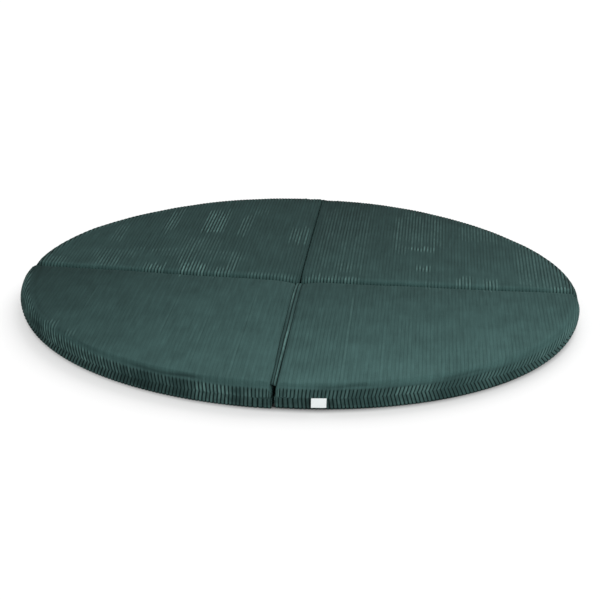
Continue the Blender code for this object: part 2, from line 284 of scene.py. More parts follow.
def edge_profile(width, fullness, half_fill):
    """Cloth length from the seam, inset and rise (0 at the seam, 1 on top) round a filled edge."""
    turn = np.linspace(0.0, math.pi / 2.0, PROFILE_POINTS)
    inset = width * (1.0 - np.cos(turn) ** (2.0 / fullness))
    rise = np.sin(turn) ** (2.0 / fullness)
    steps = np.hypot(np.diff(inset), np.diff(rise) * half_fill)
    length = np.concatenate([[0.0], np.cumsum(steps)])
    return {"length": length, "inset": inset, "rise": rise, "cloth": length[-1], "width": width}


def inset_at(edge, cloth):
    """How far in from the seam points lie, for their length of cloth from the seam."""
    return np.interp(cloth, edge["length"], edge["inset"]) + np.maximum(cloth - edge["cloth"], 0.0)


def cloth_for(edge, inset):
    """The length of cloth from the seam, for how far in points lie."""
    return np.interp(inset, edge["inset"], edge["length"]) + np.maximum(inset - edge["width"], 0.0)


def rise_at(edge, cloth):
    """The share of their full height that points reach, for their length of cloth from the seam."""
    return np.interp(cloth, edge["length"], edge["rise"])


class QuarterShape:
    """One quarter cushion in its own corner: x and y run out from the crossing of the folds."""

    # How wide each edge rounds over, and how full it is
    RIM = (0.0215, 1.85)
    SIDE_FOLD = (0.018, 2.2)
    FRONT_FOLD = (0.013, 2.2)
    BACK_FOLD = (0.008, 2.3)
    # Share of its roll that the lower panel keeps at the front-to-back fold
    LOWER_FOLD_SHARE = 0.25
    # Rows of faces over the side fold, the top and the rim
    SIDE_STEPS = 10
    TOP_STEPS = 30
    RIM_STEPS = 22
    # The back quarters press against each other: the share of their fold that this fills, the cloth
    # within which it does, and the lengths of the rim's cloth over which the rim fills it wholly
    PRESSED = 0.6
    PRESS_RUN = 0.003
    PRESSED_AT_RIM = (0.5, 2.5)
    # The corners are drawn in, and the quarters sink towards the crossing of the folds
    CORNER_RUN = 0.024
    CENTRE_DRAW_IN = 0.003
    SIDE_CORNER_DRAW_IN = 0.003
    CENTRE_SINK = 0.5
    CENTRE_SINK_RUN = 0.055
    # Height and size of the filling's broad and small lumps, and of the puckers at the rim's corner
    BROAD_LUMPS = (0.0012, 0.150)
    SMALL_LUMPS = (0.0005, 0.045)
    PUCKERS = (0.0024, 0.008)
    PUCKER_RUN = 0.045
    # The crease: its share of the way to the end of the open wales, how much painted shade darkens the
    # pile in it, and its depth, width and wandering
    CREASE_SHARE = 0.85
    CREASE_SHADE = 0.6
    CREASE_DEPTH = 0.003
    CREASE_WIDTH = 0.005
    CREASE_WANDER = 0.003
    # Share of the wales' depth that is left at a seam, and how far from the seam it is whole again
    DEPTH_AT_SEAM = 0.35
    SEAM_RUN = 0.018
    # The pile closes over the grooves between these shares of the way to the end of the open wales,
    # and between these shares of the side fold's cloth
    CLOSING = (0.52, 0.68)
    CLOSING_AT_FOLD = (0.5, 0.8)
    # Between these shares of the rim's cloth the painted shade of the side changes to the top's
    SIDE_TO_TOP = (0.40, 0.56)
    # Between these shares of the folds' cloth the painted light over their shoulders fades
    LIGHT_AT_LINE_FOLD = (0.2, 1.0)
    LIGHT_AT_SIDE_FOLD = (0.5, 1.25)

    def __init__(self, quarter, sizes):
        self.quarter = quarter
        # The pile's lie and the light and shade painted on it
        self.pile = PILE_AND_PAINTED_LIGHT[quarter["name"]]
        self.sizes = sizes
        self.half_fill = sizes.top_height / 2.0
        self.rim = edge_profile(*self.RIM, self.half_fill)
        self.side_fold = edge_profile(*self.SIDE_FOLD, self.half_fill)
        fold = self.FRONT_FOLD if quarter["y"] < 0 else self.BACK_FOLD
        self.line_fold = edge_profile(*fold, self.half_fill)
        self.overhang = self.rim["cloth"] - self.rim["width"]
        pattern_radius = sizes.radius + quarter["side"] + self.overhang
        self.widest = float(cloth_for(self.line_fold, pattern_radius - sizes.fold_gap / 2.0))
        self.wales = round(self.widest / sizes.wale_pitch)
        self.columns = self.wales * sizes.wale_columns

    def round_the_rim(self, x, y, at_side, halfway, at_line):
        """A value that changes smoothly round the rim, for the direction of points."""
        turn = np.arctan2(y, x)
        share = np.sin(turn) ** 2
        ends = at_side * (1.0 - share) + at_line * share
        return ends + (halfway - (at_side + at_line) / 2.0) * np.sin(2.0 * turn) ** 2

    def rim_radius(self, x, y):
        """The rim's radius in the direction of points, with the quarter's own unevenness."""
        quarter = self.quarter
        stray = self.round_the_rim(x, y, quarter["side"], quarter["halfway"], quarter["line"])
        return self.sizes.radius + stray

    def fill_height(self, line_cloth, side_cloth, rim_cloth):
        """Height of the panel over the seam, for the cloth lengths from the three edges."""
        rise = rise_at(self.line_fold, line_cloth)
        if self.quarter["y"] > 0:
            # The two back quarters press against each other, most at the rim, and stay full there
            full, end = self.PRESSED_AT_RIM
            at_rim = 1.0 - smooth_step(rim_cloth, self.rim["cloth"] * full, self.rim["cloth"] * end)
            pressed = np.maximum(at_rim, self.PRESSED) * smooth_step(line_cloth, 0.0, self.PRESS_RUN)
            rise = rise + (1.0 - rise) * pressed
        rise = rise * rise_at(self.side_fold, side_cloth) * rise_at(self.rim, rim_cloth)
        from_crossing = (line_cloth ** 2 + side_cloth ** 2) / self.CENTRE_SINK_RUN ** 2
        rise = rise * (1.0 - self.CENTRE_SINK * np.exp(-from_crossing))
        crown = 1.0
        for cloth in (line_cloth, side_cloth, rim_cloth):
            crown = crown * (1.0 - np.exp(-np.maximum(cloth, 0.0) / self.sizes.crown_run))
        return self.half_fill * rise + self.sizes.crown * crown

    def height_over_floor(self, height):
        """Heights over the floor, from heights over the quarter's seam in an even filling."""
        seam = self.quarter["seam"]
        above = seam + height * (self.sizes.top_height - seam) / self.half_fill
        below = seam + height * seam / self.half_fill
        return np.where(height > 0.0, above, below)

    def square_lower_fold(self, points):
        """Moves points of the lower panel out towards the front-to-back fold, over its rolled edge."""
        width = self.line_fold["width"]
        reach_in = np.clip(points[..., 0] - self.sizes.fold_gap / 2.0, 0.0, width)
        fade = np.clip(2.0 - points[..., 0] / (2.0 * width), 0.0, 1.0)
        points[..., 0] -= (1.0 - self.LOWER_FOLD_SHARE) * reach_in * fade

    def column_end(self, x, rim_cloth):
        """Where columns of cloth at x meet the line that lies rim_cloth in from the rim seam."""
        y = np.full_like(x, self.sizes.radius)
        for _ in range(10):
            reach = self.rim_radius(x, y) + self.overhang - rim_cloth
            y = np.sqrt(np.maximum(reach * reach - x * x, (CLEARANCE / 2.0) ** 2))
        return cloth_for(self.side_fold, y - CLEARANCE / 2.0)

    def pattern(self):
        """Cloth lengths from the two fold seams, for each row and column of the panel's grid."""
        line_cloth = np.linspace(0.0, self.widest, self.columns + 1)
        x = self.sizes.fold_gap / 2.0 + inset_at(self.line_fold, line_cloth)
        full = self.column_end(x, 0.0)
        shares = np.linspace(0.0, 1.0, self.RIM_STEPS + 1)[::-1]
        rim_part = np.stack([full - self.column_end(x, share * self.rim["cloth"]) for share in shares])
        side_part = np.linspace(0.0, 1.0, self.SIDE_STEPS + 1)[:, None] * self.side_fold["cloth"]
        squeeze = np.minimum(1.0, full / (self.side_fold["cloth"] + rim_part[0] + TOUCH))
        start = self.side_fold["cloth"] * squeeze
        end = full - rim_part[0] * squeeze
        share = np.linspace(0.0, 1.0, self.TOP_STEPS + 1)[1:-1, None]
        side_cloth = np.concatenate([
            side_part * squeeze,
            start + (end - start) * share,
            full - rim_part * squeeze,
        ])
        return np.broadcast_to(line_cloth, side_cloth.shape), side_cloth

    def draw_in_corners(self, x, y):
        """Pulls points in where two seams meet."""
        reach_x = float(self.rim_radius(1.0, 0.0))
        reach_y = float(self.rim_radius(0.0, 1.0))
        corners = (
            (0.0, 0.0, 1.0, 1.0, self.CENTRE_DRAW_IN),
            (0.0, reach_y, 1.0, -1.0, self.quarter["corner"]),
            (reach_x, 0.0, -1.0, 1.0, self.SIDE_CORNER_DRAW_IN),
        )
        for corner_x, corner_y, inward_x, inward_y, draw_in in corners:
            distance = np.hypot(x - corner_x, y - corner_y)
            pull = draw_in * np.exp(-((distance / self.CORNER_RUN) ** 2)) / math.sqrt(2.0)
            x = x + inward_x * pull
            y = y + inward_y * pull
        return x, y

    def wrap(self, line_cloth, side_cloth):
        """Points of the flat panel wrapped over the filling, and their cloth lengths from the rim."""
        sizes = self.sizes
        x = sizes.fold_gap / 2.0 + inset_at(self.line_fold, line_cloth)
        y = CLEARANCE / 2.0 + inset_at(self.side_fold, side_cloth)
        reach = np.hypot(x, y)
        radius = self.rim_radius(x, y)
        rim_cloth = np.maximum(radius + self.overhang - reach, 0.0)
        shrink = (radius - inset_at(self.rim, rim_cloth)) / reach
        height = self.fill_height(line_cloth, side_cloth, rim_cloth)
        x, y = self.draw_in_corners(x * shrink, y * shrink)
        widening = (self.quarter["gap"] - sizes.fold_gap) / 2.0
        x = x + widening * y / sizes.radius * (1.0 - x / sizes.radius)
        return np.stack([x, y, height], axis=-1), rim_cloth

    def unevenness(self, points, line_cloth, side_cloth, rim_cloth):
        """Soft lumps of the filling and puckers at the corners."""
        seed = self.pile["seed"]
        x, y = points[..., 0], points[..., 1]
        nearest = np.minimum(np.minimum(line_cloth, side_cloth), rim_cloth)
        inside = smooth_step(nearest, 0.006, 0.050)
        broad, broad_size = self.BROAD_LUMPS
        small, small_size = self.SMALL_LUMPS
        lumps = broad * soft_noise(x, y, broad_size, seed) + small * soft_noise(x, y, small_size, seed + 1)
        corner = np.exp(-(np.hypot(x, y - self.sizes.radius) / self.PUCKER_RUN) ** 2)
        pucker, pucker_size = self.PUCKERS
        puckers = pucker * corner * soft_noise(x, y, pucker_size, seed + 4)
        puckers = puckers * smooth_step(nearest, 0.0, 0.01)
        return lumps * inside + puckers

    def crease(self, points, line_cloth, side_cloth, rim_cloth):
        """The crease under the top's edge, from 0 to 1, wandering along the rim's shoulder."""
        seed = self.pile["seed"]
        along_rim = np.arctan2(points[..., 1], points[..., 0]) * self.sizes.radius
        zero = np.zeros_like(along_rim)
        wander = self.CREASE_WANDER * soft_noise(along_rim, zero, 0.07, seed + 2)
        depth = self.pile["trough"] + placed_by_hand(points, self.pile["creases"])
        depth = depth * (0.8 + 0.2 * soft_noise(along_rim, zero, 0.09, seed + 3))
        place = rim_cloth - self.CREASE_SHARE * self.open_edge(points) - wander
        away_from_folds = smooth_step(np.minimum(line_cloth, side_cloth), 0.01, 0.05)
        return depth * np.exp(-((place / self.CREASE_WIDTH) ** 2)) * away_from_folds

    def open_edge(self, points):
        """How far in from the rim's seam, along the cloth, the wales stay open."""
        return self.rim["cloth"] * self.round_the_rim(points[..., 0], points[..., 1], *self.pile["open"])

    def wale_relief(self, points, line_cloth, side_cloth, rim_cloth, brushed_highlight, reach):
        """How far points sink below the wales' crests, their share of a wale's height, and openness."""
        rib = wale_share(line_cloth * self.wales / self.widest)
        nearest = np.minimum(side_cloth, rim_cloth)
        at_seam = np.minimum(1.0, self.DEPTH_AT_SEAM + nearest / self.SEAM_RUN)
        edge = self.open_edge(points) * reach
        edge = edge * (1.0 + 0.08 * soft_noise(line_cloth, side_cloth, 0.02, 71))
        start, end = self.CLOSING
        on_top = smooth_step(rim_cloth, edge * start, edge * end)
        start, end = self.CLOSING_AT_FOLD
        fold_edge = self.side_fold["cloth"]
        on_top = on_top * smooth_step(side_cloth, fold_edge * start, fold_edge * end)
        uneven = 1.0 + 0.6 * soft_noise(line_cloth, side_cloth, 0.11, self.pile["seed"] + 5)
        on_top_open = np.clip(self.pile["wales"] * uneven + 0.8 * brushed_highlight, 0.1, 1.0)
        open_grooves = 1.0 - on_top * (1.0 - on_top_open)
        sink = self.sizes.wale_depth * at_seam * open_grooves * (1.0 - rib ** WALE_POWER)
        return sink, rib, open_grooves

    def rim_highlight(self, points, rim_cloth, reach):
        """How much painted highlight lies on the side bands, in stretches along the rim where the pile is
        stroked up.
        """
        seed = self.pile["seed"]
        along_rim = np.arctan2(points[..., 1], points[..., 0]) * self.sizes.radius
        # Broad stretches about 50 mm long, and ticks about as wide as a wale
        stretches = 0.40 + 0.30 * soft_noise(along_rim, rim_cloth, 0.05, seed + 6)
        stretches = stretches + placed_by_hand(points, self.pile["stretches"])
        ticks = 0.25 * soft_noise(along_rim, rim_cloth, 0.010, seed + 7)
        edge = self.open_edge(points) * reach
        return np.clip(stretches + ticks, 0.0, 1.0) * (1.0 - smooth_step(rim_cloth, edge * 0.5, edge * 0.7))

    def painted_shade(self, points, line_cloth, side_cloth, rim_cloth):
        """Painted light and shade at places: changing over the top, darker on the sides, where the pile
        stands upright, lighter or darker over the rim's shoulder, and lighter over the folds' shoulders.
        """
        at_crossing, along, across = self.pile["shade"]
        radius = self.sizes.radius
        # Painted shade of the top, changing from the crossing of the folds towards the rim
        on_top = at_crossing + (along * points[..., 1] + across * points[..., 0]) / radius
        # Painted shade on the sides, lighter or darker round the rim
        sides = SIDE_SHADE * self.round_the_rim(points[..., 0], points[..., 1], *self.pile["side_light"])
        cloth = self.rim["cloth"]
        # Painted light or shade over the rim's shoulder
        light, full_share, end_share = self.pile["shoulder_light"]
        shoulder = 1.0 + light * (1.0 - smooth_step(rim_cloth, full_share * cloth, end_share * cloth))
        start, end = self.SIDE_TO_TOP
        from_side_to_top = smooth_step(rim_cloth, start * cloth, end * cloth)
        on_top = on_top * (sides + (shoulder - sides) * from_side_to_top)
        start, end = self.LIGHT_AT_LINE_FOLD
        from_line = smooth_step(line_cloth / self.line_fold["cloth"], start, end)
        start, end = self.LIGHT_AT_SIDE_FOLD
        from_side = smooth_step(side_cloth / self.side_fold["cloth"], start, end)
        # Painted light over the shoulders at the folds
        return on_top * (1.0 + self.pile["fold_light"] * (1.0 - from_line * from_side))


def placed_by_hand(points, stretches):
    """The strength at points of stretches round the rim, each an angle, half width and strength."""
    turn = np.degrees(np.arctan2(points[..., 1], points[..., 0]))
    amount = np.zeros_like(turn)
    for middle, half_width, strength in stretches:
        amount = amount + strength * (1.0 - smooth_step(np.abs(turn - middle) / half_width, 0.6, 1.1))
    return amount


def highlight_amount(x, y, wale):
    """How much painted highlight lies on the crests at places on the open mat, where the pile is stroked
    up, wale by wale, from 0 to 1.
    """
    amount = np.zeros_like(x)
    chance = np.random.RandomState(40).uniform(-1.0, 1.0, (len(BRUSHED_HIGHLIGHTS), 256))
    ragged = 0.2 * soft_noise(x, y, 0.012, 41)
    for (middle_x, middle_y, across, along, strength), shifts in zip(BRUSHED_HIGHLIGHTS, chance):
        shift = shifts[wale % 256]
        u = (x - middle_x) / across
        v = (y - middle_y) / along + 0.25 * shift + ragged
        inside = (1.0 - smooth_step(np.abs(u), 0.8, 1.15)) * (1.0 - smooth_step(np.abs(v), 0.85, 1.05))
        amount = np.maximum(amount, strength * (0.75 + 0.25 * shift) * inside)
    return amount


def shift_middle(x, y, radius):
    """Moves places on the mat with the crossing of the folds, less the nearer the rim they are."""
    share = 1.0 - (x * x + y * y) / (radius * radius)
    return x + CROSSING_X * share, y + CROSSING_Y * share


def grid_normals(points):
    """Outward normals of a grid of points, pointing up where the grid is flat."""
    down_columns = np.gradient(points, axis=0)
    along_rows = np.gradient(points, axis=1)
    normals = np.cross(along_rows, down_columns)
    length = np.linalg.norm(normals, axis=-1, keepdims=True)
    normals = np.where(length > 1e-14, normals / np.maximum(length, 1e-14), (0.0, 0.0, 1.0))
    return normals


def add_grid(bm, rows, columns, layer, first):
    """A grid whose points are marked with their place in the arrays that shape them."""
    made = bmesh.ops.create_grid(bm, x_segments=columns, y_segments=rows, size=0.5)
    for vert in made["verts"]:
        column = round((vert.co.x + 0.5) * columns)
        row = round((vert.co.y + 0.5) * rows)
        vert[layer] = first + row * (columns + 1) + column
    return made["verts"]


def finish_mesh(bm, name, layer, points, cloth, attributes, material):
    """Turns a marked bmesh into a shaded object, with its cloth coordinates and attributes."""
    mesh = bpy.data.meshes.new(name)
    bm.to_mesh(mesh)
    bm.free()
    marks = np.zeros(len(mesh.vertices), dtype=np.int32)
    mesh.attributes[layer].data.foreach_get("value", marks)
    mesh.attributes.remove(mesh.attributes[layer])
    uv = mesh.uv_layers.new(name="cloth")
    corners = np.zeros(len(mesh.loops), dtype=np.int32)
    mesh.loops.foreach_get("vertex_index", corners)
    uv.data.foreach_set("uv", cloth[marks[corners]].astype(np.float32).ravel())
    for attribute, values in attributes.items():
        made = mesh.attributes.new(attribute, "FLOAT", "POINT")
        made.data.foreach_set("value", values[marks].astype(np.float32))
    mesh.shade_smooth()
    mesh.materials.append(material)
    piece = bpy.data.objects.new(name, mesh)
    bpy.context.scene.collection.objects.link(piece)
    return piece


def make_quarter(quarter, sizes, material):
    """A quarter cushion: a top and a bottom panel of corduroy, sewn together round their edges."""
    shape = QuarterShape(quarter, sizes)
    line_cloth, side_cloth = shape.pattern()
    smooth, rim_cloth = shape.wrap(line_cloth, side_cloth)
    normals = grid_normals(smooth)
    seam = np.zeros(line_cloth.shape, dtype=bool)
    seam[0, :] = seam[-1, :] = seam[:, 0] = seam[:, -1] = True
    normals[seam, 2] = 0.0
    normals /= np.maximum(np.linalg.norm(normals, axis=-1, keepdims=True), TOUCH)

    mat_x, mat_y = shift_middle(smooth[..., 0] * quarter["x"], smooth[..., 1] * quarter["y"], sizes.radius)
    wale = np.floor(line_cloth * shape.wales / shape.widest).astype(int)
    brushed_highlight = highlight_amount(mat_x, mat_y, wale)
    # Painted light and shade of the pile
    shade = shape.painted_shade(smooth, line_cloth, side_cloth, rim_cloth)
    panel = (smooth, line_cloth, side_cloth, rim_cloth, brushed_highlight)
    sink, rib, top_open = shape.wale_relief(*panel, TOP_REACH)
    bottom_sink, rib, bottom_open = shape.wale_relief(*panel, BOTTOM_REACH)
    # Painted highlight on the crests of brushed pile, and on the side bands
    top_highlight = np.maximum(brushed_highlight * rib ** 4, shape.rim_highlight(smooth, rim_cloth, TOP_REACH))
    bottom_highlight = BOTTOM_HIGHLIGHT * shape.rim_highlight(smooth, rim_cloth, BOTTOM_REACH)
    crease = shape.crease(smooth, line_cloth, side_cloth, rim_cloth)
    uneven = shape.unevenness(smooth, line_cloth, side_cloth, rim_cloth) - shape.CREASE_DEPTH * crease
    top = smooth + normals * (np.where(seam, 0.0, uneven) - sink)[..., None]
    top[..., 2] = shape.height_over_floor(top[..., 2])

    bottom = smooth - normals * bottom_sink[..., None]
    shape.square_lower_fold(bottom)
    bottom[..., 2] = shape.height_over_floor(-bottom[..., 2])
    # On the floor the bottom panel's wales are pressed half flat
    groove = 0.5 * bottom_sink * smooth_step(np.minimum(rim_cloth, side_cloth), 0.0, shape.rim["cloth"])
    bottom[..., 2] = np.maximum(bottom[..., 2], groove)
    bottom[seam] = top[seam]

    points = np.concatenate([top.reshape(-1, 3), bottom.reshape(-1, 3)])
    x, y = shift_middle(points[:, 0] * quarter["x"], points[:, 1] * quarter["y"], sizes.radius)
    points[:, 0] = x + CIRCLE_X
    points[:, 1] = y + CIRCLE_Y
    cloth = np.stack([line_cloth * quarter["x"], side_cloth * quarter["y"]], axis=-1).reshape(-1, 2)
    # The bottom panel is cut from another place of the cloth
    cloth = np.concatenate([cloth, cloth + (3.0, 3.0)])

    bm = bmesh.new()
    layer = bm.verts.layers.int.new("place")
    rows, columns = line_cloth.shape[0] - 1, line_cloth.shape[1] - 1
    add_grid(bm, rows, columns, layer, 0)
    add_grid(bm, rows, columns, layer, line_cloth.size)
    for vert in bm.verts:
        vert.co = points[vert[layer]]
    bmesh.ops.remove_doubles(bm, verts=bm.verts, dist=TOUCH)
    bmesh.ops.recalc_face_normals(bm, faces=bm.faces)
    # Painted shade in the crease under the top's edge
    top_shade = shade * (1.0 - shape.CREASE_SHADE * crease)
    # Painted shade on the bottom panel, darker close to the floor
    over_floor = smooth_step(bottom[..., 2], NEAR_FLOOR["from"], NEAR_FLOOR["to"])
    bottom_shade = shade * (NEAR_FLOOR["shade"] + NEAR_FLOOR["added"] * over_floor)
    # Painted shadow beside the label
    if quarter["name"] == "quarter_front_right":
        bottom_shade = bottom_shade * (1.0 - placed_by_hand(smooth, SHADOW_BESIDE_LABEL))
    attributes = {
        "crest": np.tile(rib.ravel(), 2),
        "brushed_highlight": np.concatenate([top_highlight.ravel(), bottom_highlight.ravel()]),
        "open_grooves": np.concatenate([top_open.ravel(), bottom_open.ravel()]),
        "shade": np.concatenate([top_shade.ravel(), bottom_shade.ravel()]),
    }
    name = quarter["name"].replace("quarter", "cushion")
    piece = finish_mesh(bm, name, "place", points, cloth, attributes, material)
    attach(piece, BODY)
    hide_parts(quarter["name"])
    return piece


def surface_height(shape, x, y):
    """Height over the floor of a quarter's top at places given from the crossing of the folds."""
    line_cloth = cloth_for(shape.line_fold, np.abs(x) - shape.sizes.fold_gap / 2.0)
    side_cloth = cloth_for(shape.side_fold, np.abs(y))
    rim_cloth = cloth_for(shape.rim, shape.rim_radius(np.abs(x), np.abs(y)) - np.hypot(x, y))
    return shape.height_over_floor(shape.fill_height(line_cloth, side_cloth, rim_cloth))


def make_hinge_strip(sizes, material):
    """The strip of two wales over the front fold, its edges resting on the shoulders."""
    wales, rows = 2, 150
    # How far from the crossing it starts and from the rim it ends, how far it drifts sideways, and how
    # much narrower it is at its open end
    start, end_inset, drift, narrowing = 0.016, 0.018, -0.0008, 0.30
    # Towards its edges the strip thins out to this share, and blends into the shoulders
    edge_share = 0.25
    left, right = QuarterShape(QUARTERS[0], sizes), QuarterShape(QUARTERS[1], sizes)
    columns = wales * sizes.wale_columns
    half_width = wales * sizes.wale_pitch / 2.0
    length = sizes.radius + QUARTERS[0]["line"] - end_inset - start
    across = np.linspace(0.0, 1.0, columns + 1)[None, :]
    share = np.linspace(0.0, 1.0, rows + 1)[:, None]
    y = np.repeat(-(start + length * share), columns + 1, axis=1)
    middle = drift * share + 0.0006 * soft_noise(y, np.zeros_like(y), 0.06, 61)
    drawn_in = half_width * (1.0 - narrowing * smooth_step(share, 0.5, 1.0))
    x = middle + drawn_in * (2.0 * across - 1.0)
    left_height = surface_height(left, middle - drawn_in, y)
    right_height = surface_height(right, middle + drawn_in, y)
    base = left_height + (right_height - left_height) * across + CLEARANCE
    rib = np.repeat(wale_share(across * wales), rows + 1, axis=0)
    relief = sizes.wale_depth * rib ** WALE_POWER * (1.0 + 0.15 * soft_noise(x, y, 0.02, 62))
    mat_x, mat_y = shift_middle(x, y, sizes.radius)
    inside = smooth_step(np.minimum(across, 1.0 - across), 0.0, 0.3)
    thinning = edge_share + (1.0 - edge_share) * inside
    height = base + (sizes.strip_thickness + relief) * thinning
    top = np.stack([mat_x + CIRCLE_X, mat_y + CIRCLE_Y, height], axis=-1)
    under = top.copy()
    under[..., 2] = base
    points = np.concatenate([top.reshape(-1, 3), under.reshape(-1, 3)])
    cloth = np.stack([x, y], axis=-1).reshape(-1, 2)
    cloth = np.concatenate([cloth, cloth])

    bm = bmesh.new()
    layer = bm.verts.layers.int.new("place")
    add_grid(bm, rows, columns, layer, 0)
    raised = bmesh.ops.extrude_face_region(bm, geom=bm.faces[:])
    under_verts = [item for item in raised["geom"] if isinstance(item, bmesh.types.BMVert)]
    for vert in under_verts:
        vert[layer] += x.size
    for vert in bm.verts:
        vert.co = points[vert[layer]]
    bmesh.ops.recalc_face_normals(bm, faces=bm.faces)
    # Painted highlight: near the crossing on the left wale, near the rim on the right one
    left_wale = 0.75 - 0.70 * smooth_step(share, 0.20, 0.40)
    right_wale = 0.15 + 0.80 * smooth_step(share, 0.38, 0.55)
    lit = np.where(across < 0.5, left_wale, right_wale)
    brushed_highlight = lit * (0.75 + 0.25 * soft_noise(x, y, 0.03, 63)) * rib ** 6
    # Painted shade: towards the rim the whole strip is lighter, and a painted shadow falls on the left wale
    in_shadow = np.where(across < 0.5, 0.25 * smooth_step(share, 0.3, 0.6), 0.0)
    shade = (0.58 + 0.35 * share) * (1.0 - in_shadow)
    attributes = {
        "crest": np.tile(rib.ravel(), 2),
        "brushed_highlight": np.tile(brushed_highlight.ravel(), 2),
        "open_grooves": np.ones(2 * x.size),
        "shade": np.tile(shade.ravel(), 2),
    }
    piece = finish_mesh(bm, "fold_strip", "place", points, cloth, attributes, material)
    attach(piece, BODY)
    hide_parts("hinge_strip")
    return piece


def make_label(material):
    """The blank woven label, sewn in the front seam and hanging over the lower panel."""
    low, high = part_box("label_blank")
    middle = (low + high) / 2.0
    turn = math.atan2(middle.y - CIRCLE_Y, middle.x - CIRCLE_X)
    height = high.z - low.z
    width = (high.x - low.x) / abs(math.sin(turn)) - 0.0002
    thickness = 0.0008
    # How far its lower edge stands off, and how much that edge waves
    stand_off, wave = 0.0006, 0.0004
    bm = bmesh.new()
    bmesh.ops.create_grid(bm, x_segments=22, y_segments=14, size=0.5)
    for vert in bm.verts:
        across, up = vert.co.x, vert.co.y
        hang = 0.5 - up
        lift = stand_off * hang * hang + wave * math.sin(across * 7.0 + 0.5) * hang
        vert.co = Vector((lift, across * width, up * height))
    bmesh.ops.recalc_face_normals(bm, faces=bm.faces)
    bmesh.ops.solidify(bm, geom=bm.faces[:], thickness=thickness)
    uv = bm.loops.layers.uv.new("cloth")
    for face in bm.faces:
        for loop in face.loops:
            loop[uv].uv = (loop.vert.co.y, loop.vert.co.z)
    radius = math.hypot(middle.x - CIRCLE_X, middle.y - CIRCLE_Y)
    bmesh.ops.translate(bm, vec=(radius, 0.0, middle.z), verts=bm.verts)
    bmesh.ops.rotate(bm, cent=(0, 0, 0), matrix=Matrix.Rotation(turn, 3, "Z"), verts=bm.verts)
    bmesh.ops.translate(bm, vec=(CIRCLE_X, CIRCLE_Y, 0.0), verts=bm.verts)
    bmesh.ops.recalc_face_normals(bm, faces=bm.faces)
    mesh = bpy.data.meshes.new("label")
    bm.to_mesh(mesh)
    bm.free()
    mesh.shade_smooth()
    mesh.set_sharp_from_angle(angle=math.radians(50))
    mesh.materials.append(material)
    piece = bpy.data.objects.new("label", mesh)
    bpy.context.scene.collection.objects.link(piece)
    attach(piece, BODY)
    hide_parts("label_blank")
    return piece


def add_node(tree, kind, settings=None, links=None):
    """Adds a node, sets its options and sockets, and links other nodes' outputs to its inputs."""
    node = tree.nodes.new(kind)
    for name, value in (settings or {}).items():
        if isinstance(name, str) and hasattr(node, name):
            setattr(node, name, value)
        else:
            node.inputs[name].default_value = value
    for name, output in (links or {}).items():
        tree.links.new(output, node.inputs[name])
    return node


def new_material(name):
    """A material of this name with an empty node tree."""
    material = bpy.data.materials.get(name) or bpy.data.materials.new(name)
    material.use_nodes = True
    material.node_tree.nodes.clear()
    return material, material.node_tree


